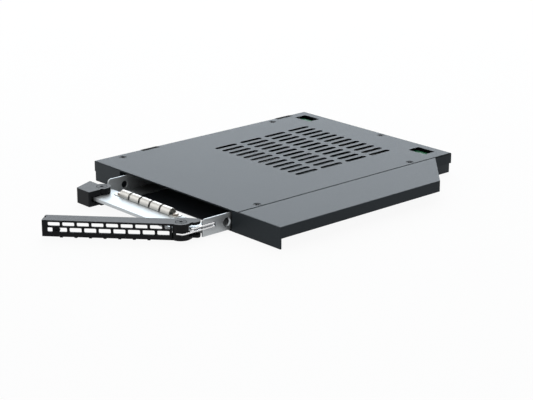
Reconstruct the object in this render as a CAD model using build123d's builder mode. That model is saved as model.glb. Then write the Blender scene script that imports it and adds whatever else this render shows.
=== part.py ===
from build123d import *
import math
import os

# A thin hot-swap cage for one 2.5 inch drive, in millimetres.
# X runs across the bay, Y runs from the front to the rear, Z is up.
# The origin is the middle of the bay, on the flat underside of the base.

# Bay and housing
bay_width = 128.0
bay_height = 9.5
side_room = 4.0
backplane_room = 19.7
base_sheet = 0.5
cover_sheet = 0.6
cover_drop = 5.0
bend_radius = 0.5
mouth_left = 19.5
latch_room = 5.05
mouth_return = 7.0

# Wing that fills the bay beside the body
wing_sheet = 0.7
wing_seam = 0.15
wing_length = 121.5
wing_side_length = 96.0
wing_drop = 5.0
wing_wall_gap = 4.0

# Vents, board windows and side notches of the cover
vent_columns = 12
vent_rows = 4
vent_width = 2.6
vent_length = 13.0
vent_pitch_x = 5.09
vent_pitch_y = 15.67
vent_first_x = 22.5
vent_first_y = 61.0
window_width = 10.5
window_depth = 7.0
window_rear_inset = 4.5
window_left_x = 5.5
window_right_inset = 6.5
notch_depth = 2.5
notch_length = 10.0
notch_front_y = 26.5
notch_rear_inset = 20.5
block_gap = 0.1
block_hole_radius = 1.05
side_hole_radius = 0.8
side_nut_radius = 1.9
side_nut_length = 1.5

# Flat-head screws
screw_radius = 0.95
screw_hole_radius = 1.0
screw_head_radius = 1.8
screw_length = 3.2
recess_width = 0.6
recess_length = 2.3
recess_depth = 0.5
head_ring_gap = 0.1
cover_screw_left_x = 4.3
cover_screw_right_inset = 2.6
cover_screw_front_y = 13.2
cover_screw_rear_inset = 25.8
cover_screw_mid_x = 58.0
cover_screw_end_inset = 3.0
screw_sink = 0.15
post_radius = 1.7
wing_screw_ys = (24.0, 62.0, 100.0)
wing_screw_head = 1.7
wing_screw_head_height = 0.9

# Drive and tray
drive_width = 69.85
drive_length = 100.2
drive_height = 7.0
drive_side_gap = 0.5
drive_hole_front = 9.6
drive_hole_rear = 14.0
drive_hole_height = 3.0
drive_hole_radius = 1.6
drive_sink_radius = 2.0
floor_opening_edge = 10.0
floor_opening_front = 19.0
floor_crossbar = 8.0
floor_opening_corner = 3.0
bottom_hole_spacing = 61.72
tray_sheet = 0.6
tray_right_gap = 0.9
floor_gap = 0.2
run_gap = 0.3
drive_setback = 13.1
left_wall_start = 13.8
right_ear_start = 9.4
ear_corner = 1.5
tray_rear_gap = 0.8
pull = 24.5

# Front deck of the tray
deck_height = 5.0
deck_front = -0.4
deck_hem = 1.45
deck_left_inset = 1.95
deck_right_reach = 3.1
deck_corner = 2.0
ear_hole_y = 15.6
ear_hole_size = 2.3

# Spring finger strip on the deck
finger_count = 5
finger_pitch = 7.2
finger_width = 6.0
finger_shift = 2.775
finger_sheet = 0.3
finger_half_depth = 2.1
finger_rise = 2.75
finger_lift = 0.15
strip_bar_depth = 0.9
strip_tab_width = 4.0
strip_tab_depth = 4.0
rivet_radius = 1.35
rivet_height = 0.8

# Lever
pivot_from_tray_right = 4.3
pivot_y = 1.5
lever_open_angle = 42.8
lever_end_gap = 0.7
lever_bottom = 1.1
lever_height = 7.1
lever_wall = 0.8
lever_front = 3.3
lever_rear = 3.7
lip_depth = 3.0
boss_radius = 4.3
boss_flange = 1.2
rear_lobe_radius = 4.7
rear_lobe_shift = 1.0
hub_radius = 1.6
hook_front = 0.6
slot_pitch = 6.13
slot_length = 5.1
slot_rounding = 0.45
upper_slot_inset = 5.0
upper_slot_height = 1.65
upper_slot_drop = 0.8
lower_slot_inset = 1.9
lower_slot_height = 1.9
lower_slot_drop = 3.15
slot_end_margin = 2.3
grip_rib_width = 1.2
grip_rib_height = 0.35
grip_ribs = 7
end_notch = 0.9
end_notch_width = 1.5

# Pivots and the lever's spring
pin_radius = 1.2
pin_clearance = 0.05
head_radius = 2.3
head_thickness = 0.55
head_clearance = 0.2
clinch_radius = 1.7
hex_radius = 0.85
wire_radius = 0.34
coil_radius = 2.05
coil_pitch = 0.55
coil_turns = 3
wire_gap = 0.08
wire_low_z = 4.35
wire_corner = 0.9
wire_high_z = 5.75

# Quarter-turn lock in the lever
lock_inset = 6.1
lock_drop = 4.15
lock_radius = 1.0
lock_collar_radius = 1.5
lock_proud = 0.2
lock_cam_width = 1.6
lock_cam_sheet = 0.25
key_slot_width = 0.45

# Release latch
latch_pivot_inset = 5.75
latch_pivot_y = 6.4
latch_bottom = 1.0
latch_height = 6.9
latch_front = -3.0
latch_left_inset = -0.1
latch_right_inset = 9.15
latch_waist_inset = 9.1
latch_waist_y = 2.3
latch_tail_reach = 4.35
latch_tail_y = 7.3
latch_disc_radius = 3.9
latch_front_wall = 1.3
latch_deck_gap = 0.4
latch_arm_inset = 13.45
latch_arm_front = 0.3
latch_arm_rear = 2.3
latch_arm_bottom = 2.2
latch_rounding = 0.6

# Guide rails
rail_width = 3.0
rail_start = 11.0
rail_step_y = 17.0
rail_overrun = 2.7
rail_top_gap = 0.2
rail_fix_front = 30.0
rail_fix_inset = 18.0

# Backplane
board_front_inset = 13.5
board_rear_inset = 5.4
board_side_gap = 2.5
board_thickness = 1.2
board_bottom = 6.8
board_head = 0.6
board_post_radius = 2.0
board_post_left_x = 20.0
board_post_right_inset = 19.5
board_post_inset = 9.4
socket_width = 42.0
socket_bottom = 2.2
socket_height = 5.2
socket_wall = 0.9
socket_cavity = 3.6
tongue_reach = 3.4
tongue_thickness = 1.2
signal_width = 10.0
power_width = 20.5
tongue_gap = 2.4
contact_pitch = 1.27
contact_width = 0.6
contact_thickness = 0.12
signal_contacts = 7
power_contacts = 15
host_x = 43.0
host_width = 26.0
host_height = 3.9
host_depth = 8.6
host_wall = 0.7
host_cavity = 5.0
host_tongue_width = 20.0
host_tongue_thickness = 1.0
host_contacts = 13

# Worked-out places, as distances from the housing's front left corner
tray_width = drive_width + 2 * drive_side_gap + 2 * tray_sheet
tray_left = mouth_left + latch_room
tray_right = tray_left + tray_width
tray_middle = (tray_left + tray_right) / 2
mouth_right = tray_right + tray_right_gap
body_width = mouth_right + side_room
drive_rear = drive_setback + drive_length
bay_depth = drive_rear + backplane_room
wall_left = cover_sheet
wall_right = body_width - cover_sheet
wall_rear = bay_depth - cover_sheet
ceiling = bay_height - cover_sheet
wing_left = body_width + wing_seam
notch_rear_y = bay_depth - notch_rear_inset
window_front = bay_depth - window_rear_inset - window_depth
window_right_x = body_width - window_right_inset - window_width
cover_screw_right_x = body_width - cover_screw_right_inset
cover_screw_rear_y = bay_depth - cover_screw_rear_inset
cover_screw_end_y = bay_depth - cover_screw_end_inset
tray_bottom = base_sheet + floor_gap
tray_floor = tray_bottom + tray_sheet
tray_top = tray_floor + drive_height
tray_rear = drive_rear - tray_rear_gap
pivot_x = tray_right - pivot_from_tray_right
deck_left = tray_left + deck_left_inset
deck_right = pivot_x + deck_right_reach
deck_rear = drive_setback - run_gap
finger_first_x = tray_middle - finger_shift - finger_pitch * (finger_count - 1) / 2
latch_pivot_x = tray_left + latch_pivot_inset
latch_left_x = tray_left + latch_left_inset
latch_right_x = tray_left + latch_right_inset
latch_waist_x = tray_left + latch_waist_inset
latch_tail_x = tray_left - latch_tail_reach
latch_arm_x = tray_left + latch_arm_inset
latch_top = latch_bottom + latch_height
lever_length = pivot_x - latch_right_x - lever_end_gap
lever_top = lever_bottom + lever_height
rail_end = drive_rear + rail_overrun
rail_fix_rear = rail_end - rail_fix_inset
socket_front = drive_rear + run_gap
board_front = bay_depth - board_front_inset
board_rear = bay_depth - board_rear_inset
board_post_right_x = body_width - board_post_right_inset
board_post_y = bay_depth - board_post_inset
board_top = board_bottom + board_thickness


def at(x, y):
    """A point in plan, measured from the housing's front left corner."""
    return (x - bay_width / 2, y - bay_depth / 2)


def home(x, y):
    """The same for the pulled-out tray, given where the point lies when the tray is home."""
    return at(x, y - pull)


def block(x0, x1, y0, y1, z0, z1, place=at, mode=Mode.ADD):
    """A straight-sided volume between two corners given in plan places and heights."""
    with BuildSketch(Plane.XY.offset(z0)) as outline:
        with Locations(place((x0 + x1) / 2, (y0 + y1) / 2)):
            Rectangle(x1 - x0, y1 - y0)
    extrude(outline.sketch, amount=z1 - z0, mode=mode)


def disc(x, y, radius, z0, z1, place=at, mode=Mode.ADD):
    """An upright cylinder between two heights."""
    with BuildSketch(Plane.XY.offset(z0)) as outline:
        with Locations(place(x, y)):
            Circle(radius)
    extrude(outline.sketch, amount=z1 - z0, mode=mode)


def wing_screw_holes():
    """The clearance holes for the wing's screws, cut where the body's right side stands."""
    for y in wing_screw_ys:
        hole_plane = Plane(origin=(*at(wall_right - base_sheet, y), bay_height / 2), z_dir=(1, 0, 0))
        with BuildSketch(hole_plane) as hole:
            Circle(screw_hole_radius)
        extrude(hole.sketch, amount=base_sheet + cover_sheet, mode=Mode.SUBTRACT)


def save(builder, name):
    builder.part.label = name
    export_step(builder.part, f"parts/{name}.step")


os.makedirs("parts", exist_ok=True)

notches = [(notch_front_y, notch_front_y + notch_length), (notch_rear_y, notch_rear_y + notch_length)]
cover_screw_places = [
    (cover_screw_left_x, cover_screw_front_y),
    (cover_screw_left_x, cover_screw_rear_y),
    (cover_screw_right_x, cover_screw_front_y),
    (cover_screw_right_x, cover_screw_rear_y),
    (cover_screw_mid_x, cover_screw_end_y),
]
left_rail_x = tray_left - run_gap - rail_width
right_rail_x = tray_right + run_gap
rail_screw_places = [
    (left_rail_x + rail_width / 2, rail_fix_front),
    (left_rail_x + rail_width / 2, rail_fix_rear),
    (cover_screw_right_x, rail_fix_front),
    (cover_screw_right_x, rail_fix_rear),
]
board_post_places = [(board_post_left_x, board_post_y), (board_post_right_x, board_post_y)]
base_screw_places = rail_screw_places + board_post_places

# Base pan: the floor sheet, with two pockets in its left edge
floor_points = [at(wall_left, 0)]
for low, high in notches:
    floor_points += [
        at(wall_left, low),
        at(notch_depth, low),
        at(notch_depth, high),
        at(wall_left, high),
    ]
floor_points += [at(wall_left, wall_rear), at(wall_right, wall_rear), at(wall_right, 0)]
with BuildPart() as base_pan:
    with BuildSketch():
        with BuildLine():
            Polyline(*floor_points, close=True)
        make_face()
    extrude(amount=base_sheet)
    block(mouth_right - run_gap, wall_right + 1, -1, wing_sheet, -1, bay_height, mode=Mode.SUBTRACT)
    for x, y in base_screw_places:
        disc(x, y, screw_hole_radius, -1, base_sheet + 1, mode=Mode.SUBTRACT)
        with BuildSketch(Plane.XY):
            with Locations(at(x, y)):
                Circle(screw_head_radius)
        extrude(amount=base_sheet, taper=40, mode=Mode.SUBTRACT)
save(base_pan, "base_pan")

# Base walls: the sheet that stands on the floor's left, rear and right edges and closes the front left
with BuildPart() as base_walls:
    with BuildSketch(Plane.XY.offset(base_sheet)):
        with BuildLine():
            Polyline(*floor_points, close=True)
        make_face()
        offset(amount=-base_sheet, kind=Kind.INTERSECTION, mode=Mode.SUBTRACT)
    extrude(amount=ceiling - base_sheet)
    block(mouth_left, wall_right - base_sheet, -1, 1, -1, bay_height, mode=Mode.SUBTRACT)
    block(mouth_right - run_gap, wall_right + 1, -1, wing_sheet, -1, bay_height, mode=Mode.SUBTRACT)
    block(mouth_left - base_sheet, mouth_left, 0, mouth_return, base_sheet, ceiling)
    block(
        host_x - host_width / 2 - run_gap,
        host_x + host_width / 2 + run_gap,
        wall_rear - 2 * base_sheet,
        wall_rear + 1,
        board_bottom - host_height - run_gap,
        board_bottom + run_gap,
        mode=Mode.SUBTRACT,
    )
    for low, high in notches:
        side_hole_plane = Plane(origin=(*at(notch_depth, (low + high) / 2), bay_height / 2), z_dir=(1, 0, 0))
        with BuildSketch(side_hole_plane):
            Circle(side_hole_radius)
        extrude(amount=base_sheet, mode=Mode.SUBTRACT)
    wing_screw_holes()
save(base_walls, "base_walls")

# Clinch nuts behind the two side holes
with BuildPart() as side_nuts:
    for low, high in notches:
        nut_plane = Plane(
            origin=(*at(notch_depth + base_sheet, (low + high) / 2), bay_height / 2),
            z_dir=(1, 0, 0),
        )
        with BuildSketch(nut_plane):
            RegularPolygon(side_nut_radius, 6)
            Circle(side_hole_radius, mode=Mode.SUBTRACT)
        extrude(amount=side_nut_length)
save(side_nuts, "side_nuts")

# Moulded blocks that fill the two pockets, with a clearance hole to the nut
with BuildPart() as side_blocks:
    for low, high in notches:
        block(0, notch_depth - block_gap, low + block_gap, high - block_gap, 0, bay_height)
    fillet(side_blocks.edges().filter_by(Axis.Z).group_by(Axis.X)[0], bend_radius)
    for low, high in notches:
        hole_plane = Plane(origin=(*at(0, (low + high) / 2), bay_height / 2), z_dir=(1, 0, 0))
        with BuildSketch(hole_plane) as hole:
            Circle(block_hole_radius)
        extrude(hole.sketch, amount=notch_depth, mode=Mode.SUBTRACT)
save(side_blocks, "side_blocks")

# Top cover: one sheet with three folded sides, vents, board windows and countersunk holes
with BuildPart() as top_cover:
    block(0, body_width, 0, bay_depth, bay_height - cover_drop, bay_height)
    rounded = top_cover.edges().group_by(Axis.Z)[-1].filter_by(Axis.Y)
    rounded += top_cover.edges().group_by(Axis.Z)[-1].filter_by(Axis.X).sort_by(Axis.Y)[-1:]
    fillet(rounded, bend_radius)
    block(wall_left, wall_right, -1, wall_rear, -1, ceiling, mode=Mode.SUBTRACT)
    block(mouth_right, body_width + 1, -1, wing_sheet, -1, ceiling, mode=Mode.SUBTRACT)
    with BuildSketch(Plane.XY.offset(ceiling - 1)):
        middle_x = vent_first_x + vent_pitch_x * (vent_columns - 1) / 2
        middle_y = vent_first_y + vent_pitch_y * (vent_rows - 1) / 2
        with Locations(at(middle_x, middle_y)):
            with GridLocations(vent_pitch_x, vent_pitch_y, vent_columns, vent_rows):
                SlotOverall(vent_length, vent_width, rotation=90)
    extrude(amount=cover_sheet + 2, mode=Mode.SUBTRACT)
    with BuildSketch(Plane.XY.offset(ceiling - 1)):
        for x in (window_left_x, window_right_x):
            with Locations(at(x + window_width / 2, window_front + window_depth / 2)):
                RectangleRounded(window_width, window_depth, 0.5)
    extrude(amount=cover_sheet + 2, mode=Mode.SUBTRACT)
    for low, high in notches:
        block(-1, notch_depth, low, high, -1, bay_height + 1, mode=Mode.SUBTRACT)
    block(
        host_x - host_width / 2 - run_gap,
        host_x + host_width / 2 + run_gap,
        wall_rear - 1,
        bay_depth + 1,
        -1,
        board_bottom + run_gap,
        mode=Mode.SUBTRACT,
    )
    with Locations([(*at(x, y), bay_height) for x, y in cover_screw_places]):
        CounterSinkHole(screw_hole_radius, screw_head_radius, depth=bay_height)
    wing_screw_holes()

# The cover's flat sheet and its folded sides meet face to face at the ceiling
with BuildPart() as cover_sheet_part:
    add(top_cover.part)
    block(-1, body_width + 1, -1, bay_depth + 1, -1, ceiling, mode=Mode.SUBTRACT)
save(cover_sheet_part, "top_cover")

with BuildPart() as cover_folds:
    add(top_cover.part)
    block(-1, body_width + 1, -1, bay_depth + 1, ceiling, bay_height + 1, mode=Mode.SUBTRACT)
save(cover_folds, "cover_folds")

# Wing: one folded sheet beside the body, with the full-height front flange that the hook grips
with BuildPart() as wing_bracket:
    wing_outline = [
        at(wing_left, 0),
        at(bay_width, 0),
        at(bay_width, wing_side_length),
        at(wing_left, wing_length),
    ]
    with BuildSketch(Plane.XY.offset(bay_height - wing_sheet)):
        with BuildLine():
            Polyline(*wing_outline, close=True)
        make_face()
    extrude(amount=wing_sheet)
    block(bay_width - wing_sheet, bay_width, 0, wing_side_length, bay_height - wing_drop, bay_height)
    block(wing_left, bay_width, 0, wing_sheet, 0, bay_height)
    long_edges = wing_bracket.edges().group_by(Axis.Z)[-1]
    fillet(long_edges.filter_by(Axis.Y) + long_edges.filter_by(Axis.X), bend_radius)
    block(mouth_right, wing_left, 0, wing_sheet, 0, ceiling)
    block(
        wing_left,
        wing_left + wing_sheet,
        wing_wall_gap,
        wing_length - wing_wall_gap,
        base_sheet,
        bay_height - wing_sheet,
    )
    for y in wing_screw_ys:
        hole_plane = Plane(origin=(*at(wing_left, y), bay_height / 2), z_dir=(1, 0, 0))
        with BuildSketch(hole_plane):
            Circle(screw_hole_radius)
        extrude(amount=wing_sheet, mode=Mode.SUBTRACT)
save(wing_bracket, "wing_bracket")

# Guide rails that the tray runs between, with threaded holes for the screws
rail_top = ceiling - rail_top_gap
with BuildPart() as left_rail:
    block(left_rail_x, left_rail_x + rail_width, rail_start, rail_end, base_sheet, rail_top)
    fillet(left_rail.edges().filter_by(Axis.Z).group_by(Axis.Y)[0], rail_width / 3)
    for x, y in rail_screw_places[:2]:
        disc(x, y, screw_hole_radius, 0, screw_length + base_sheet, mode=Mode.SUBTRACT)
save(left_rail, "left_rail")

with BuildPart() as right_rail:
    with BuildSketch(Plane.XY.offset(base_sheet)):
        with BuildLine():
            Polyline(
                at(wall_right - base_sheet, rail_start),
                at(wall_right - base_sheet, rail_end),
                at(right_rail_x, rail_end),
                at(right_rail_x, rail_step_y + 1),
                at(mouth_right + wire_gap, rail_step_y),
                at(mouth_right + wire_gap, rail_start),
                close=True,
            )
        make_face()
    extrude(amount=ceiling - base_sheet)
    for x, y in rail_screw_places[2:]:
        disc(x, y, screw_hole_radius, 0, screw_length + base_sheet, mode=Mode.SUBTRACT)
    for x, y in cover_screw_places[2:4]:
        disc(x, y, screw_hole_radius, bay_height - screw_length - 0.5, ceiling, mode=Mode.SUBTRACT)
    for y in wing_screw_ys:
        hole_plane = Plane(origin=(*at(wall_right - base_sheet, y), bay_height / 2), z_dir=(-1, 0, 0))
        with BuildSketch(hole_plane):
            Circle(screw_hole_radius)
        extrude(amount=rail_width - 1, mode=Mode.SUBTRACT)
save(right_rail, "right_rail")

# Posts under the cover screws that have no rail below them
with BuildPart() as cover_posts:
    for x, y in (cover_screw_places[0], cover_screw_places[1], cover_screw_places[4]):
        disc(x, y, post_radius, base_sheet, ceiling)
        disc(x, y, screw_hole_radius, bay_height - screw_length - 0.5, ceiling, mode=Mode.SUBTRACT)
save(cover_posts, "cover_posts")


def flat_screw(x, y, z, pointing, sheet, sink=0.0):
    """A flat-head screw with a cross recess, its head sunk in a sheet whose face is at height z."""
    head_plane = Plane(origin=(*at(x, y), z + pointing * sink), z_dir=(0, 0, pointing))
    with BuildSketch(head_plane) as head:
        Circle(screw_head_radius - head_ring_gap - sink)
    extrude(head.sketch, amount=sheet - sink, taper=45)
    with BuildSketch(head_plane) as shank:
        Circle(screw_radius)
    extrude(shank.sketch, amount=screw_length)
    with BuildSketch(head_plane) as recess:
        Rectangle(recess_length, recess_width)
        Rectangle(recess_width, recess_length)
    extrude(recess.sketch, amount=recess_depth, mode=Mode.SUBTRACT)


with BuildPart() as cover_screws:
    for x, y in cover_screw_places:
        flat_screw(x, y, bay_height, -1, cover_sheet, screw_sink)
save(cover_screws, "cover_screws")

with BuildPart() as base_screws:
    for x, y in base_screw_places:
        flat_screw(x, y, 0, 1, base_sheet)
save(base_screws, "base_screws")

# Screws that hold the wing to the right rail
with BuildPart() as wing_screws:
    for y in wing_screw_ys:
        shank_plane = Plane(origin=(*at(wing_left + wing_sheet, y), bay_height / 2), z_dir=(-1, 0, 0))
        with BuildSketch(shank_plane):
            Circle(screw_radius)
        extrude(amount=wing_sheet + wing_seam + cover_sheet + base_sheet + rail_width - 1.2)
        with BuildSketch(shank_plane):
            Circle(wing_screw_head)
        extrude(amount=-wing_screw_head_height)
save(wing_screws, "wing_screws")

# Backplane board, its posts and screws, and the two connectors it carries
board_left = wall_left + board_side_gap
board_right = wall_right - board_side_gap
with BuildPart() as backplane_board:
    block(board_left, board_right, board_front, board_rear, board_bottom, board_top)
    fillet(backplane_board.edges().filter_by(Axis.Z), 0.8)
    for x, y in board_post_places:
        disc(x, y, screw_hole_radius, 0, bay_height, mode=Mode.SUBTRACT)
save(backplane_board, "backplane_board")

with BuildPart() as board_posts:
    for x, y in board_post_places:
        disc(x, y, board_post_radius, base_sheet, board_bottom)
        disc(x, y, screw_hole_radius, base_sheet, board_bottom, mode=Mode.SUBTRACT)
save(board_posts, "board_posts")

with BuildPart() as board_screws:
    for x, y in board_post_places:
        disc(x, y, screw_radius, screw_length + 0.1, board_top)
        disc(x, y, screw_head_radius, board_top, board_top + board_head)
        block(x - recess_length / 2, x + recess_length / 2, y - recess_width / 2, y + recess_width / 2,
              board_top + board_head / 2, board_top + 1, mode=Mode.SUBTRACT)
save(board_screws, "board_screws")

socket_left = tray_middle - socket_width / 2
socket_right = tray_middle + socket_width / 2
socket_top = socket_bottom + socket_height
socket_middle = socket_bottom + socket_height / 2
signal_left = tray_middle - (signal_width + tongue_gap + power_width) / 2
power_left = signal_left + signal_width + tongue_gap
tongues = [(signal_left, signal_width, signal_contacts), (power_left, power_width, power_contacts)]
cavity_back = socket_front + socket_cavity
with BuildPart() as drive_socket:
    block(socket_left, socket_right, socket_front, board_front, socket_bottom, socket_top)
    fillet(drive_socket.edges().filter_by(Axis.Z).group_by(Axis.Y)[0], 0.6)
    block(socket_left + socket_wall, socket_right - socket_wall, socket_front - 1, cavity_back,
          socket_bottom + socket_wall, socket_top - socket_wall, mode=Mode.SUBTRACT)
    for left, width, count in tongues:
        block(left, left + width, socket_front - tongue_reach, cavity_back,
              socket_middle, socket_middle + tongue_thickness)
        block(left, left + 1.2, socket_front - tongue_reach, cavity_back,
              socket_middle - 1.2, socket_middle)
save(drive_socket, "drive_socket")

# The contact strips lie on the tongues' undersides
with BuildPart() as socket_contacts:
    for left, width, count in tongues:
        for index in range(count):
            x = left + width - 0.7 - contact_pitch * index
            block(x - contact_width / 2, x + contact_width / 2, socket_front - tongue_reach + 0.5,
                  cavity_back, socket_middle - contact_thickness, socket_middle)
save(socket_contacts, "socket_contacts")

host_left = host_x - host_width / 2
host_right = host_x + host_width / 2
host_front = bay_depth - host_depth
host_bottom = board_bottom - host_height
host_middle = board_bottom - host_height / 2
with BuildPart() as host_connector:
    block(host_left, host_right, host_front, bay_depth, host_bottom, board_bottom)
    block(host_left + host_wall, host_right - host_wall, bay_depth - host_cavity, bay_depth + 1,
          host_bottom + host_wall, board_bottom - host_wall, mode=Mode.SUBTRACT)
    block(host_x - host_tongue_width / 2, host_x + host_tongue_width / 2, bay_depth - host_cavity,
          bay_depth - 0.6, host_middle - host_tongue_thickness / 2, host_middle + host_tongue_thickness / 2)
save(host_connector, "host_connector")

with BuildPart() as host_contact_strips:
    for index in range(host_contacts):
        x = host_x + contact_pitch * (index - (host_contacts - 1) / 2)
        block(x - contact_width / 2, x + contact_width / 2, bay_depth - host_cavity, bay_depth - 1,
              host_middle + host_tongue_thickness / 2,
              host_middle + host_tongue_thickness / 2 + contact_thickness)
save(host_contact_strips, "host_contacts")

# Small parts on the board: a bridge chip, two electrolytic blocks and a few chip parts
chip_places = [(30.0, 4.5, 4.5, 0.8), (62.0, 5.0, 4.0, 0.8), (72.0, 3.4, 2.6, 0.7), (14.6, 2.0, 1.2, 0.6)]
with BuildPart() as board_chips:
    for x, width, depth, height in chip_places:
        middle_y = (board_front + board_rear) / 2
        block(x - width / 2, x + width / 2, middle_y - depth / 2, middle_y + depth / 2,
              board_top, board_top + height)
save(board_chips, "board_chips")

strip_bottom = deck_height
strip_rear = deck_rear - finger_lift
finger_middle_y = strip_rear - finger_half_depth
finger_last_x = finger_first_x + finger_pitch * (finger_count - 1)
strip_left = finger_first_x - finger_width / 2 - strip_tab_width
strip_right = finger_last_x + finger_width / 2 + strip_tab_width
rivet_places = [
    (strip_left + strip_tab_width / 2, strip_rear - strip_tab_depth / 2),
    (strip_right - strip_tab_width / 2, strip_rear - strip_tab_depth / 2),
]

# Tray: one folded sheet with a floor, two side walls and a raised deck at the front
riser_front = deck_rear - tray_sheet
drive_hole_ys = (drive_setback + drive_hole_front, drive_rear - drive_hole_rear)
drive_hole_z = tray_floor + drive_hole_height
with BuildPart() as tray_frame:
    block(tray_left, tray_right, riser_front, tray_rear, tray_bottom, tray_floor, home)
    for x0, x1, y0 in (
        (tray_left, tray_left + tray_sheet, left_wall_start),
        (tray_right - tray_sheet, tray_right, right_ear_start),
    ):
        with BuildSketch(Plane(origin=(*home(x0, 0), 0), x_dir=(0, 1, 0), z_dir=(1, 0, 0))) as wall:
            with BuildLine():
                FilletPolyline(
                    (tray_rear, tray_top),
                    (y0, tray_top),
                    (y0, tray_bottom),
                    radius=ear_corner,
                )
                Line((y0, tray_bottom), (tray_rear, tray_bottom))
                Line((tray_rear, tray_bottom), (tray_rear, tray_top))
            make_face()
        extrude(wall.sketch, amount=x1 - x0)
    block(deck_left, deck_right, riser_front, deck_rear, tray_bottom, deck_height, home)
    with BuildSketch(Plane.XY.offset(deck_height)) as deck:
        with BuildLine():
            FilletPolyline(
                home(deck_left, deck_front),
                home(deck_right, deck_front),
                home(deck_right, deck_rear),
                radius=deck_corner,
            )
            Line(home(deck_right, deck_rear), home(deck_left, deck_rear))
            Line(home(deck_left, deck_rear), home(deck_left, deck_front))
        make_face()
    extrude(deck.sketch, amount=-tray_sheet)
    block(deck_left, deck_right - deck_corner, deck_front, deck_front + tray_sheet,
          deck_height - deck_hem, deck_height, home)
    for y in drive_hole_ys:
        for x, outward in ((tray_left, -1), (tray_right, 1)):
            outside = Plane(origin=(*home(x, y), drive_hole_z), z_dir=(outward, 0, 0))
            with Locations(outside):
                CounterSinkHole(drive_hole_radius, drive_sink_radius, depth=tray_sheet)
        for side in (-1, 1):
            disc(tray_middle + side * bottom_hole_spacing / 2, y, drive_hole_radius,
                 tray_bottom - 1, tray_floor + 1, home, Mode.SUBTRACT)
    opening_width = tray_width - 2 * floor_opening_edge
    opening_length = (tray_rear - floor_opening_front - floor_crossbar) / 2
    for y0, y1 in (
        (floor_opening_front, floor_opening_front + opening_length),
        (tray_rear - opening_length, tray_rear + 2 * floor_opening_corner),
    ):
        with BuildSketch(Plane.XY.offset(tray_bottom)) as opening:
            with Locations(home(tray_middle, (y0 + y1) / 2)):
                RectangleRounded(opening_width, y1 - y0, floor_opening_corner)
        extrude(opening.sketch, amount=tray_sheet, mode=Mode.SUBTRACT)
    block(tray_right - 2 * tray_sheet, tray_right + 1,
          ear_hole_y - ear_hole_size / 2, ear_hole_y + ear_hole_size / 2,
          deck_height - ear_hole_size / 2, deck_height + ear_hole_size / 2, home, Mode.SUBTRACT)
    for x, y in ((pivot_x, pivot_y), (latch_pivot_x, latch_pivot_y)):
        disc(x, y, clinch_radius + 0.03, tray_floor + 1, tray_top, home, Mode.SUBTRACT)
    for x, y in rivet_places:
        disc(x, y, rivet_radius / 2 + 0.03, tray_floor + 1, tray_top, home, Mode.SUBTRACT)
save(tray_frame, "tray_frame")

# Spring finger strip: a bar along the deck's rear edge with arched fingers and two riveted tabs
with BuildPart() as finger_strip:
    block(strip_left, strip_right, strip_rear - strip_bar_depth, strip_rear,
          strip_bottom, strip_bottom + finger_sheet, home)
    for x, y in rivet_places:
        block(x - strip_tab_width / 2, x + strip_tab_width / 2, y - strip_tab_depth / 2, strip_rear,
              strip_bottom, strip_bottom + finger_sheet, home)
        disc(x, y, rivet_radius / 2 + 0.03, strip_bottom - 1, strip_bottom + 1, home, Mode.SUBTRACT)
    for index in range(finger_count):
        x = finger_first_x + finger_pitch * index - finger_width / 2
        arch_plane = Plane(
            origin=(*home(x, finger_middle_y), strip_bottom + finger_lift),
            x_dir=(0, 1, 0),
            z_dir=(1, 0, 0),
        )
        with BuildSketch(arch_plane) as arch:
            Ellipse(finger_half_depth, finger_rise)
            Ellipse(finger_half_depth - finger_sheet, finger_rise - finger_sheet, mode=Mode.SUBTRACT)
            with Locations((0, -finger_rise)):
                Rectangle(4 * finger_half_depth, 2 * finger_rise, mode=Mode.SUBTRACT)
        extrude(arch.sketch, amount=finger_width)
save(finger_strip, "finger_strip")

with BuildPart() as strip_rivets:
    for x, y in rivet_places:
        disc(x, y, rivet_radius / 2, deck_height - tray_sheet, strip_bottom + finger_sheet, home)
        disc(x, y, rivet_radius, strip_bottom + finger_sheet,
             strip_bottom + finger_sheet + rivet_height, home)
    domes = strip_rivets.edges().group_by(Axis.Z)[-1]
    fillet(domes, rivet_height / 2)
save(strip_rivets, "strip_rivets")

# Lever: a channel that straddles the deck, drawn in its own plan with the pivot at the middle
lever_turn = math.radians(lever_open_angle)
along = (math.cos(lever_turn), math.sin(lever_turn), 0)
outward = (math.sin(lever_turn), -math.cos(lever_turn), 0)
pivot = Vector(*home(pivot_x, pivot_y), 0)
bore_radius = pin_radius + pin_clearance


def lever_plan(z):
    """The lever's own plan at a height, with X along the lever towards the pivot."""
    return Plane(origin=pivot + Vector(0, 0, z), x_dir=along, z_dir=(0, 0, 1))


def lever_face(depth):
    """An upright plane that looks at the lever's front, at a distance before the pivot."""
    return Plane(origin=pivot + Vector(*outward) * depth, x_dir=along, z_dir=outward)


def plate(points, z0, z1):
    with BuildSketch(lever_plan(z0)) as outline:
        with BuildLine():
            Polyline(*points, close=True)
        make_face()
    extrude(outline.sketch, amount=z1 - z0)


def boss(z0, z1):
    with BuildSketch(lever_plan(z0)) as outline:
        Circle(boss_radius)
        with Locations((0, rear_lobe_shift)):
            Circle(rear_lobe_radius)
    extrude(outline.sketch, amount=z1 - z0)


def lever_row(inset, drop, height):
    """One row of slots through the front wall, from the free end until the boss cuts the last one short."""
    left = -lever_length + inset - slot_length / 2
    while left < -boss_radius - slot_length / 4:
        start = max(left, -lever_length + slot_end_margin)
        stop = min(left + slot_length, -boss_radius + 0.2)
        with BuildSketch(lever_face(lever_front + 1)) as slot:
            with Locations(((start + stop) / 2, lever_top - drop - height / 2)):
                RectangleRounded(stop - start, height, min(slot_rounding, (stop - start) / 3))
        extrude(slot.sketch, amount=-lever_wall - 1.2, mode=Mode.SUBTRACT)
        left += slot_pitch


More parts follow.
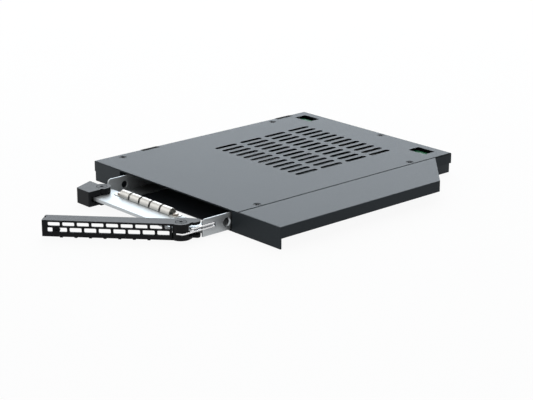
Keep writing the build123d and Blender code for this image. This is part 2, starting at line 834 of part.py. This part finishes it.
flange_bottom = lever_top - lever_wall
lip_top = lever_bottom + lever_wall
lock_z = lever_top - lock_drop
lock_from_pivot = lever_length - lock_inset
hook_tip = [(7.66, 3.6), (6.6, 4.7), (2.6, 5.3), (0, 5.3)]
with BuildPart() as lever:
    plate(
        [
            (-lever_length, -lever_front),
            (0, -lever_front),
            (0, lever_rear),
            (-lever_length + 0.2, lever_rear),
            (-lever_length, end_notch_width + 0.3),
            (-lever_length + end_notch, end_notch_width + 0.3),
            (-lever_length + end_notch, 0.3),
            (-lever_length, 0.3),
        ],
        flange_bottom,
        lever_top,
    )
    plate([(-lever_length, -lever_front), (0, -lever_front), (0, lip_depth - lever_front),
           (-lever_length, lip_depth - lever_front)], lever_bottom, lip_top)
    plate([(-lever_length, -lever_front), (-boss_radius + 1, -lever_front),
           (-boss_radius + 1, lever_wall - lever_front), (-lever_length, lever_wall - lever_front)],
          lever_bottom, lever_top)
    boss(lever_top - boss_flange, lever_top)
    boss(lever_bottom, lever_bottom + boss_flange)
    plate([(0, -hook_front), (6.1, -hook_front), (7.66, 1.1)] + hook_tip,
          lever_top - boss_flange, lever_top)
    plate([(0, hook_front), (6.9, hook_front), (7.66, 1.5)] + hook_tip,
          lever_bottom, lever_bottom + boss_flange)
    with BuildSketch(lever_plan(lever_bottom)) as skirt:
        Circle(boss_radius)
        Circle(boss_radius - lever_wall, mode=Mode.SUBTRACT)
        with BuildLine():
            Polyline((0, 0), (-8, -7.4), (0, -16), (11.5, -8), close=True)
        make_face(mode=Mode.INTERSECT)
    extrude(skirt.sketch, amount=lever_height)
    with BuildSketch(lever_plan(deck_height + finger_lift)) as hub:
        Circle(hub_radius)
    extrude(hub.sketch, amount=lever_top - deck_height - finger_lift)
    lever_row(upper_slot_inset, upper_slot_drop, upper_slot_height)
    lever_row(lower_slot_inset, lower_slot_drop, lower_slot_height)
    with BuildSketch(lever_face(lever_front)) as collar:
        with Locations((-lock_from_pivot, lock_z)):
            Circle(lock_collar_radius)
    extrude(collar.sketch, amount=-lever_wall)
    with BuildSketch(lever_face(lever_front + 1)) as lock_hole:
        with Locations((-lock_from_pivot, lock_z)):
            Circle(lock_radius + pin_clearance)
    extrude(lock_hole.sketch, amount=-lever_wall - 1.2, mode=Mode.SUBTRACT)
    for index in range(grip_ribs):
        u = -lever_length + upper_slot_inset + slot_pitch * (index + 0.5)
        plate([(u - grip_rib_width / 2, -lever_front), (u + grip_rib_width / 2, -lever_front),
               (u + grip_rib_width / 2, lip_depth - lever_front),
               (u - grip_rib_width / 2, lip_depth - lever_front)],
              lever_bottom - grip_rib_height, lever_bottom)
    with BuildSketch(lever_plan(lever_bottom)) as bore:
        Circle(bore_radius)
    extrude(bore.sketch, amount=lever_height, mode=Mode.SUBTRACT)
    with BuildSketch(lever_plan(lever_top)) as sink:
        Circle(head_radius + head_clearance)
    extrude(sink.sketch, amount=-head_thickness - pin_clearance, mode=Mode.SUBTRACT)
save(lever, "lever")

# Quarter-turn lock in the lever's front wall, with a cam bar behind it
with BuildPart() as key_lock:
    with BuildSketch(lever_face(lever_front + lock_proud)) as barrel:
        with Locations((-lock_from_pivot, lock_z)):
            Circle(lock_radius)
    extrude(barrel.sketch, amount=-lock_proud - lever_wall - pin_clearance)
    with BuildSketch(lever_face(lever_front - lever_wall - pin_clearance)) as cam:
        with Locations((-lock_from_pivot, lock_z)):
            SlotOverall(2 * lock_collar_radius, lock_cam_width)
    extrude(cam.sketch, amount=-lock_cam_sheet)
    with BuildSketch(lever_face(lever_front + lock_proud)) as key_slot:
        with Locations((-lock_from_pivot, lock_z)):
            SlotOverall(1.5 * lock_radius, key_slot_width)
    extrude(key_slot.sketch, amount=-lock_proud - lever_wall / 2, mode=Mode.SUBTRACT)
save(key_lock, "key_lock")


def pivot_screw(x, y, top):
    """A shoulder screw with a low round head and a hexagon socket."""
    disc(x, y, head_radius, top - head_thickness, top, home)
    disc(x, y, pin_radius, deck_height, top - head_thickness, home)
    disc(x, y, screw_radius, deck_height - tray_sheet - 1, deck_height, home)
    with BuildSketch(Plane.XY.offset(top)) as socket:
        with Locations(home(x, y)):
            RegularPolygon(hex_radius, 6)
    extrude(socket.sketch, amount=-head_thickness - 0.5, mode=Mode.SUBTRACT)


def clinch_stud(x, y, shoulder, bottom):
    """A threaded stud pressed into the deck, with a nose that the lower jaw turns on."""
    disc(x, y, clinch_radius, shoulder, deck_height, home)
    disc(x, y, screw_hole_radius, deck_height - tray_sheet - 1.2, deck_height, home, Mode.SUBTRACT)
    disc(x, y, pin_radius, bottom, shoulder, home)


with BuildPart() as lever_screw:
    pivot_screw(pivot_x, pivot_y, lever_top)
save(lever_screw, "lever_screw")

with BuildPart() as lever_stud:
    clinch_stud(pivot_x, pivot_y, lever_bottom + boss_flange + 0.1, lever_bottom + 0.2)
save(lever_stud, "lever_stud")

# Lever spring: a coil round the hub, one leg to the ear's hole and one round the boss
wire_path_radius = boss_radius + wire_gap + wire_radius
wire_x = pivot_x + wire_path_radius
bend_reach = math.tan(math.radians(30)) * wire_path_radius
wire_inside = wire_x - 1.1
wire_points = [
    (*home(pivot_x - 0.5, pivot_y + coil_radius), wire_high_z),
    (*home(wire_x, pivot_y + coil_radius), wire_high_z),
    (*home(wire_x, ear_hole_y), wire_high_z),
    (*home(wire_inside, ear_hole_y), wire_high_z),
    (*home(wire_inside, ear_hole_y), wire_low_z),
    (*home(wire_x, ear_hole_y), wire_low_z),
    (*home(wire_x, pivot_y - bend_reach), wire_low_z),
    (*home(pivot_x + wire_path_radius * 0.47, pivot_y - wire_path_radius * 0.883), wire_low_z),
]
with BuildPart() as lever_spring:
    with BuildLine() as wire:
        FilletPolyline(*wire_points, radius=[0.9, 0.45, 0.45, 0.45, 0.45, wire_corner])
    with BuildSketch(Plane(origin=wire.line @ 0, z_dir=wire.line % 0)) as wire_section:
        Circle(wire_radius)
    sweep(wire_section.sketch, path=wire.line)
    for index in range(coil_turns):
        coil_z = wire_high_z - wire_radius + 0.05 + coil_pitch * index
        with Locations((*home(pivot_x, pivot_y), coil_z)):
            Torus(coil_radius, wire_radius)
save(lever_spring, "lever_spring")

# Release latch: a block that straddles the deck's left end and turns about its own screw
latch_slot_low = deck_height - deck_hem - latch_deck_gap
latch_slot_high = deck_height + latch_deck_gap
with BuildPart() as release_latch:
    with BuildSketch(Plane.XY.offset(latch_bottom)) as body_outline:
        with BuildLine():
            Polyline(
                home(latch_left_x, latch_front),
                home(latch_right_x, latch_front),
                home(latch_waist_x, latch_waist_y),
                home(latch_pivot_x + latch_disc_radius / 2, latch_pivot_y),
                home(latch_pivot_x - latch_disc_radius, latch_tail_y),
                home(latch_tail_x, latch_tail_y),
                close=True,
            )
        make_face()
        fillet(body_outline.vertices().group_by(Axis.Y)[0], latch_rounding)
        with Locations(home(latch_pivot_x, latch_pivot_y)):
            Circle(latch_disc_radius)
    extrude(body_outline.sketch, amount=latch_height)
    block(deck_left - latch_deck_gap, tray_right, latch_front + latch_front_wall, tray_rear,
          latch_slot_low, latch_slot_high, home, Mode.SUBTRACT)
    block(latch_pivot_x, latch_arm_x, latch_arm_front, latch_arm_rear,
          latch_arm_bottom, latch_slot_low, home)
    disc(latch_pivot_x, latch_pivot_y, bore_radius, 0, bay_height, home, Mode.SUBTRACT)
    disc(latch_pivot_x, latch_pivot_y, head_radius + head_clearance,
         latch_top - head_thickness - pin_clearance, bay_height, home, Mode.SUBTRACT)
save(release_latch, "release_latch")

with BuildPart() as latch_screw:
    pivot_screw(latch_pivot_x, latch_pivot_y, latch_top)
save(latch_screw, "latch_screw")

with BuildPart() as latch_stud:
    clinch_stud(latch_pivot_x, latch_pivot_y, latch_slot_low + 0.1, latch_bottom + 0.2)
save(latch_stud, "latch_stud")

# Latch spring: a small coil round the stud under the deck
with BuildPart() as latch_spring:
    for index in range(2):
        coil_z = latch_slot_low + 0.45 + index * 0.4
        with Locations((*home(latch_pivot_x, latch_pivot_y), coil_z)):
            Torus(coil_radius, 0.22)
save(latch_spring, "latch_spring")
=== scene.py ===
import bpy
import bmesh
import math
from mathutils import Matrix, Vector

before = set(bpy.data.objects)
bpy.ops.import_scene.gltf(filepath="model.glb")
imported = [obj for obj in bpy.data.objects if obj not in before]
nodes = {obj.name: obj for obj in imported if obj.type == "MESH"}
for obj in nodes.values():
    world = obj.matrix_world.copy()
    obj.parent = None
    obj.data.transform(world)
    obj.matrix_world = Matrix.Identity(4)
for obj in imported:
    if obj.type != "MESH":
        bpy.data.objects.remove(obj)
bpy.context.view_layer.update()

scene = bpy.context.scene
MM = 0.001

# Camera: place in metres, turns in degrees, lens and sensor in millimetres
camera_place = (0.51568, -0.47772, 0.21976)
camera_down = 18.0
camera_turn = 48.21
camera_lens = 107.38
camera_sensor = 36
camera_nearest = 10 * MM

# Floor and world
floor_size = 6
floor_drop = 0.3 * MM
floor_colour = (0.92, 0.92, 0.92)
floor_roughness = 0.9
floor_white_share = 0.93
world_strength = 0.35
white = (1, 1, 1, 1)
white_strength = 1.0

# Coatings and metals, as linear colours
cool = (0.74, 0.88, 1.0)
cover_finish = dict(base=(0.011, 0.0145, 0.017), rough=0.48, speckle=0.20, edge=0.04 * MM, gloss=0.18,
                    tint=cool)
zinc_tint = (0.55, 0.60, 0.62)
mask_green = (0.007, 0.105, 0.040)
track_green = (0.018, 0.190, 0.070)

# How far a surface looks round for what hides it, for the painted shade
recess_reach = 3 * MM
cage_reach = 20 * MM

# Circuit board pattern
board_cell_scale = 190
board_track_scale = 420
board_roughness = 0.32


# Material helpers

def new_material(name):
    mat = bpy.data.materials.new(name)
    mat.use_nodes = True
    tree = mat.node_tree
    shader = tree.nodes["Principled BSDF"]
    return mat, tree, shader


def coordinates(tree, stretch=(1, 1, 1)):
    """The piece's own coordinates, stretched along an axis where a finish runs along it."""
    coord = tree.nodes.new("ShaderNodeTexCoord")
    mapping = tree.nodes.new("ShaderNodeMapping")
    mapping.inputs["Scale"].default_value = stretch
    tree.links.new(coord.outputs["Object"], mapping.inputs["Vector"])
    return mapping.outputs["Vector"]


def noise(tree, vector, scale, detail=3.0, rough=0.5):
    n = tree.nodes.new("ShaderNodeTexNoise")
    n.inputs["Scale"].default_value = scale
    n.inputs["Detail"].default_value = detail
    n.inputs["Roughness"].default_value = rough
    tree.links.new(vector, n.inputs["Vector"])
    return n.outputs["Fac"]


def ramp(tree, fac, stops):
    """A colour ramp from (place, colour or grey) pairs."""
    r = tree.nodes.new("ShaderNodeValToRGB")
    elements = r.color_ramp.elements
    for element, (place, colour) in zip(elements, stops):
        element.position = place
        if not hasattr(colour, "__len__"):
            colour = (colour,) * 3
        element.color = (*colour, 1)
    tree.links.new(fac, r.inputs["Fac"])
    return r.outputs["Color"]


def mix(tree, fac, a, b, blend="MIX"):
    """Mixes two colours, each a socket or a value, by a socket or a number."""
    m = tree.nodes.new("ShaderNodeMix")
    m.data_type = "RGBA"
    m.blend_type = blend
    for socket, value in ((0, fac), (6, a), (7, b)):
        if isinstance(value, bpy.types.NodeSocket):
            tree.links.new(value, m.inputs[socket])
        elif socket == 0:
            m.inputs[socket].default_value = value
        else:
            m.inputs[socket].default_value = (*value, 1)
    return m.outputs[2]


def multiply(tree, a, b):
    return mix(tree, 1.0, a, b, "MULTIPLY")


def calculate(tree, operation, a, b):
    """A Math node on two sockets or numbers."""
    n = tree.nodes.new("ShaderNodeMath")
    n.operation = operation
    for socket, value in zip(n.inputs, (a, b)):
        if isinstance(value, bpy.types.NodeSocket):
            tree.links.new(value, socket)
        else:
            socket.default_value = value
    return n.outputs[0]


def bump(tree, height, distance, strength, normal=None):
    b = tree.nodes.new("ShaderNodeBump")
    b.inputs["Distance"].default_value = distance
    b.inputs["Strength"].default_value = strength
    tree.links.new(height, b.inputs["Height"])
    if normal is not None:
        tree.links.new(normal, b.inputs["Normal"])
    return b.outputs["Normal"]


def soft_edge(tree, radius):
    """A normal that rounds off sharp edges."""
    b = tree.nodes.new("ShaderNodeBevel")
    b.samples = 4
    b.inputs["Radius"].default_value = radius
    return b.outputs["Normal"]


def hidden_shade(tree, distance, dark, hidden_below, open_above, only_local):
    """Painted shade, which is dark deep inside a recess and 1 where the surface lies open."""
    recess = tree.nodes.new("ShaderNodeAmbientOcclusion")
    recess.samples = 6
    recess.only_local = only_local
    recess.inputs["Distance"].default_value = distance
    return ramp(tree, recess.outputs["AO"], [(hidden_below, dark), (open_above, 1.0)])


def cut_edge_shade(tree, piece, inset, dark):
    """Painted shade, which is dark on a sheet's upright cut edges, such as its slots' walls and right edge,
    and 1 elsewhere.
    """
    geometry = tree.nodes.new("ShaderNodeNewGeometry")
    facing = tree.nodes.new("ShaderNodeSeparateXYZ")
    tree.links.new(geometry.outputs["True Normal"], facing.inputs[0])
    place = tree.nodes.new("ShaderNodeSeparateXYZ")
    tree.links.new(coordinates(tree), place.inputs[0])
    corners = [Vector(corner) for corner in piece.bound_box]
    left = min(corner.x for corner in corners)
    front = min(corner.y for corner in corners)
    rear = max(corner.y for corner in corners)
    flat_from = 0.5
    upright = calculate(tree, "LESS_THAN", calculate(tree, "ABSOLUTE", facing.outputs[2], 0), flat_from)
    right_of = calculate(tree, "GREATER_THAN", place.outputs[0], left + inset)
    behind = calculate(tree, "GREATER_THAN", place.outputs[1], front + inset)
    before = calculate(tree, "LESS_THAN", place.outputs[1], rear - inset)
    inside = calculate(tree, "MULTIPLY", calculate(tree, "MULTIPLY", right_of, behind), before)
    return ramp(tree, calculate(tree, "MULTIPLY", upright, inside), [(0.4, 1.0), (0.6, dark)])


def set_surface(tree, shader, grain, colour, roughness, relief, strength, edge):
    """Gives the shader its colour, its roughness from the grain, and the grain's relief over soft edges."""
    tree.links.new(colour, shader.inputs["Base Color"])
    tree.links.new(ramp(tree, grain, [(0.2, roughness[0]), (0.8, roughness[1])]), shader.inputs["Roughness"])
    tree.links.new(bump(tree, grain, relief, strength, soft_edge(tree, edge)), shader.inputs["Normal"])


# Materials

def powder_coat(name, base, rough, edge, gloss, grain=0.02 * MM, speckle=0.12, tint=(1, 1, 1),
                cut_piece=None):
    """Fine-grained paint, with painted shade in its recesses and on the cut edges of a piece that is named
    for it.
    """
    mat, tree, shader = new_material(name)
    place = coordinates(tree)
    fine = noise(tree, place, scale=3200, detail=2, rough=0.6)
    wide = noise(tree, place, scale=45)
    light = tuple(c * (1 + speckle) + 0.004 for c in base)
    dark = tuple(c * (1 - speckle) for c in base)
    cloud = ramp(tree, wide, [(0.3, (0.94, 0.94, 0.95)), (0.7, (1.04, 1.04, 1.05))])
    colour = multiply(tree, ramp(tree, fine, [(0.35, dark), (0.65, light)]), cloud)
    # Painted shade in recesses, and on the cut edges of a named piece; it darkens both the colour and the
    # reflection
    shade = hidden_shade(tree, recess_reach, dark=0.10, hidden_below=0.40, open_above=0.75, only_local=True)
    if cut_piece is not None:
        shade = multiply(tree, shade, cut_edge_shade(tree, cut_piece, inset=2 * MM, dark=0.12))
    colour = multiply(tree, colour, shade)
    set_surface(tree, shader, fine, colour, roughness=(rough - 0.06, rough + 0.08), relief=grain,
                strength=0.6, edge=edge)
    shader.inputs["Specular IOR Level"].default_value = gloss
    # The painted shade also darkens the reflection
    tree.links.new(multiply(tree, tint, shade), shader.inputs["Specular Tint"])
    return mat


def sheet_metal(name, base, rough, edge, along=(1, 1, 1), metal=1.0, gloss=0.5, blotch=0.05, tint=(1, 1, 1),
                inner_shade=None):
    """Brushed or plated metal with faint blotches, and with painted shade deep inside the cage where that is
    asked for.
    """
    mat, tree, shader = new_material(name)
    streak = 0.05
    brush = noise(tree, coordinates(tree, along), scale=1400, rough=0.6)
    spots = noise(tree, coordinates(tree), scale=160, detail=4, rough=0.6)
    low = tuple(c * (1 - streak) for c in base)
    high = tuple(c * (1 + streak) for c in base)
    cloud = ramp(tree, spots, [(0.3, 1 - blotch), (0.7, 1.0)])
    colour = multiply(tree, ramp(tree, brush, [(0.35, low), (0.65, high)]), cloud)
    # Painted shade deep inside the cage
    if inner_shade is not None:
        shade = hidden_shade(tree, cage_reach, inner_shade, hidden_below=0.12, open_above=0.32,
                             only_local=False)
        colour = multiply(tree, colour, shade)
    set_surface(tree, shader, brush, colour, roughness=(rough - 0.05, rough + 0.07), relief=0.004 * MM,
                strength=0.5, edge=edge)
    shader.inputs["Metallic"].default_value = metal
    shader.inputs["Specular IOR Level"].default_value = gloss
    shader.inputs["Specular Tint"].default_value = (*tint, 1)
    return mat


def moulding(name, base, rough, gloss=0.5):
    """Lightly grained plastic."""
    mat, tree, shader = new_material(name)
    fine = noise(tree, coordinates(tree), scale=2600, detail=2)
    light = tuple(c * 1.15 + 0.002 for c in base)
    dark = tuple(c * 0.85 for c in base)
    colour = ramp(tree, fine, [(0.3, dark), (0.7, light)])
    set_surface(tree, shader, fine, colour, roughness=(rough - 0.05, rough + 0.06), relief=0.008 * MM,
                strength=0.5, edge=0.1 * MM)
    shader.inputs["Specular IOR Level"].default_value = gloss
    return mat


def circuit_board(name):
    """Green solder mask with groups of thin copper tracks under it, some along and some across."""
    mat, tree, shader = new_material(name)
    place = coordinates(tree)
    cells = tree.nodes.new("ShaderNodeTexVoronoi")
    cells.distance = "CHEBYCHEV"
    cells.inputs["Scale"].default_value = board_cell_scale
    cells.inputs["Randomness"].default_value = 0.8
    tree.links.new(place, cells.inputs["Vector"])
    lines = []
    for direction in ("X", "Y"):
        wave = tree.nodes.new("ShaderNodeTexWave")
        wave.bands_direction = direction
        wave.inputs["Scale"].default_value = board_track_scale
        tree.links.new(place, wave.inputs["Vector"])
        lines.append(ramp(tree, wave.outputs["Fac"], [(0.62, 0.0), (0.72, 1.0)]))
    parts = tree.nodes.new("ShaderNodeSeparateColor")
    tree.links.new(cells.outputs["Color"], parts.inputs["Color"])
    along = ramp(tree, parts.outputs["Red"], [(0.49, 0.0), (0.51, 1.0)])
    used = ramp(tree, parts.outputs["Green"], [(0.39, 0.0), (0.41, 1.0)])
    tracks = multiply(tree, mix(tree, along, lines[0], lines[1]), used)
    cloud = ramp(tree, noise(tree, place, scale=220), [(0.3, 0.85), (0.7, 1.1)])
    colour = multiply(tree, mix(tree, tracks, mask_green, track_green), cloud)
    tree.links.new(colour, shader.inputs["Base Color"])
    shader.inputs["Roughness"].default_value = board_roughness
    tree.links.new(bump(tree, tracks, distance=0.01 * MM, strength=0.4), shader.inputs["Normal"])
    return mat


# Finishes of the pieces

paint = powder_coat("powder_coat", **cover_finish)
# The top cover also gets painted shade on its slots' walls and right edge
paint_top = powder_coat("powder_coat_top", **cover_finish, cut_piece=nodes["top_cover"])
paint_pan = powder_coat("powder_coat_pan", (0.014, 0.0175, 0.020), rough=0.48, edge=0.18 * MM, gloss=0.24,
                        speckle=0.18, tint=cool)
paint_floor = powder_coat("powder_coat_floor", (0.013, 0.015, 0.018), rough=0.55, edge=0.18 * MM, gloss=0.20,
                          speckle=0.18, tint=cool)
lever_paint = powder_coat("lever_paint", (0.005, 0.0055, 0.0065), rough=0.42, edge=0.25 * MM, gloss=0.11,
                          grain=0.012 * MM)
latch_paint = powder_coat("latch_paint", (0.009, 0.010, 0.012), rough=0.42, edge=0.3 * MM, gloss=0.10,
                          grain=0.012 * MM)
# The tray's zinc gets painted shade deep inside the cage
zinc = sheet_metal("tray_zinc", (0.55, 0.575, 0.59), rough=0.40, edge=0.12 * MM, along=(1, 0.08, 1),
                   metal=0.7, tint=zinc_tint, inner_shade=0.08)
strip = sheet_metal("strip_steel", (0.58, 0.57, 0.54), rough=0.42, edge=0.12 * MM, along=(0.1, 1, 1),
                    metal=0.85, blotch=0.12)
wire = sheet_metal("wire_steel", (0.86, 0.86, 0.87), rough=0.16, edge=0.03 * MM, blotch=0.03)
plated = sheet_metal("plated_steel", (0.55, 0.56, 0.58), rough=0.30, edge=0.08 * MM)
rivet_steel = sheet_metal("rivet_steel", (0.30, 0.27, 0.24), rough=0.35, edge=0.06 * MM)
gold = sheet_metal("gold_contact", (0.86, 0.62, 0.24), rough=0.22, edge=0.02 * MM)
black_screw = sheet_metal("black_screw", (0.014, 0.015, 0.017), rough=0.42, edge=0.08 * MM, metal=0.0,
                          gloss=0.06)
black_plastic = moulding("black_moulding", (0.022, 0.022, 0.023), rough=0.45)
grey_plastic = moulding("rail_moulding", (0.030, 0.030, 0.032), rough=0.55)
block_plastic = moulding("block_moulding", (0.004, 0.004, 0.004), rough=0.8, gloss=0.06)
board = circuit_board("circuit_board")

finishes = (
    (paint_top, ("top_cover",)),
    (paint, ("cover_folds", "wing_bracket")),
    (paint_pan, ("base_walls",)),
    (paint_floor, ("base_pan",)),
    (lever_paint, ("lever",)),
    (latch_paint, ("release_latch",)),
    (zinc, ("tray_frame",)),
    (strip, ("finger_strip",)),
    (rivet_steel, ("strip_rivets",)),
    (wire, ("lever_spring", "latch_spring")),
    (plated, ("side_nuts", "cover_posts", "board_posts", "board_screws", "lever_stud", "latch_stud")),
    (black_screw, ("cover_screws", "base_screws", "wing_screws", "lever_screw", "latch_screw", "key_lock")),
    (black_plastic, ("drive_socket", "host_connector", "board_chips")),
    (grey_plastic, ("left_rail", "right_rail")),
    (block_plastic, ("side_blocks",)),
    (gold, ("socket_contacts", "host_contacts")),
    (board, ("backplane_board",)),
)
for finish, names in finishes:
    for name in names:
        piece = nodes[name]
        piece.data.materials.clear()
        piece.data.materials.append(finish)


# Floor, world, lamps and camera

def white_for_view(tree, own, plain, share):
    """The own surface, with a share of plain white where the camera, a mirror or glass looks at it."""
    rays = tree.nodes.new("ShaderNodeLightPath")
    seen = calculate(tree, "ADD", rays.outputs["Is Camera Ray"], rays.outputs["Is Glossy Ray"])
    seen = calculate(tree, "ADD", seen, rays.outputs["Is Transmission Ray"])
    seen = calculate(tree, "MINIMUM", seen, 1.0)
    blend = tree.nodes.new("ShaderNodeMixShader")
    tree.links.new(calculate(tree, "MULTIPLY", seen, share), blend.inputs[0])
    tree.links.new(own, blend.inputs[1])
    tree.links.new(plain, blend.inputs[2])
    return blend.outputs[0]


def see_through_from_below(tree, surface):
    """The surface from above, and nothing from below, so that the object's underside shows."""
    side = tree.nodes.new("ShaderNodeNewGeometry")
    clear = tree.nodes.new("ShaderNodeBsdfTransparent")
    blend = tree.nodes.new("ShaderNodeMixShader")
    tree.links.new(side.outputs["Backfacing"], blend.inputs[0])
    tree.links.new(surface, blend.inputs[1])
    tree.links.new(clear.outputs[0], blend.inputs[2])
    return blend.outputs[0]


def white_light(tree, kind, strength):
    """A plain white emission or background."""
    light = tree.nodes.new(kind)
    light.inputs["Color"].default_value = white
    light.inputs["Strength"].default_value = strength
    return light.outputs[0]


def pale_floor():
    mat, tree, shader = new_material("pale_floor")
    shader.inputs["Base Color"].default_value = (*floor_colour, 1)
    shader.inputs["Roughness"].default_value = floor_roughness
    plain = white_light(tree, "ShaderNodeEmission", white_strength)
    surface = white_for_view(tree, shader.outputs[0], plain, floor_white_share)
    surface = see_through_from_below(tree, surface)
    tree.links.new(surface, tree.nodes["Material Output"].inputs["Surface"])
    return mat


floor_mesh = bpy.data.meshes.new("floor")
bm = bmesh.new()
bmesh.ops.create_grid(bm, x_segments=1, y_segments=1, size=floor_size)
bm.to_mesh(floor_mesh)
bm.free()
floor = bpy.data.objects.new("floor", floor_mesh)
scene.collection.objects.link(floor)
floor.location.z = -floor_drop
floor.data.materials.append(pale_floor())

world = bpy.data.worlds.new("studio")
scene.world = world
world.use_nodes = True
world_tree = world.node_tree
soft = world_tree.nodes["Background"]
soft.inputs["Color"].default_value = white
soft.inputs["Strength"].default_value = world_strength
plain_world = white_light(world_tree, "ShaderNodeBackground", white_strength)
world_surface = white_for_view(world_tree, soft.outputs[0], plain_world, share=1.0)
world_tree.links.new(world_surface, world_tree.nodes["World Output"].inputs["Surface"])


def lamp(name, place, target, size, watts, colour=(1, 1, 1)):
    data = bpy.data.lights.new(name, "AREA")
    data.shape = "RECTANGLE"
    data.size, data.size_y = size
    data.energy = watts
    data.color = colour
    obj = bpy.data.objects.new(name, data)
    scene.collection.objects.link(obj)
    obj.location = place
    obj.rotation_euler = (Vector(target) - Vector(place)).to_track_quat("-Z", "Y").to_euler()


lamp("overhead", (-0.25, 0.35, 0.95), target=(0, 0, 0), size=(0.9, 0.9), watts=4.0)
lamp("rear", (-0.95, 0.95, 0.55), target=(0, 0, 0), size=(1.4, 0.9), watts=13.4, colour=(0.84, 0.92, 1.0))
lamp("left", (-0.8, -0.7, 0.5), target=(0, -0.05, 0), size=(0.6, 0.6), watts=1.5)

camera_data = bpy.data.cameras.new("camera")
camera = bpy.data.objects.new("camera", camera_data)
scene.collection.objects.link(camera)
camera.location = camera_place
camera.rotation_euler = (math.radians(90 - camera_down), 0, math.radians(camera_turn))
camera_data.lens = camera_lens
camera_data.sensor_width = camera_sensor
camera_data.clip_start = camera_nearest
scene.camera = camera
scene.view_settings.view_transform = "Standard"
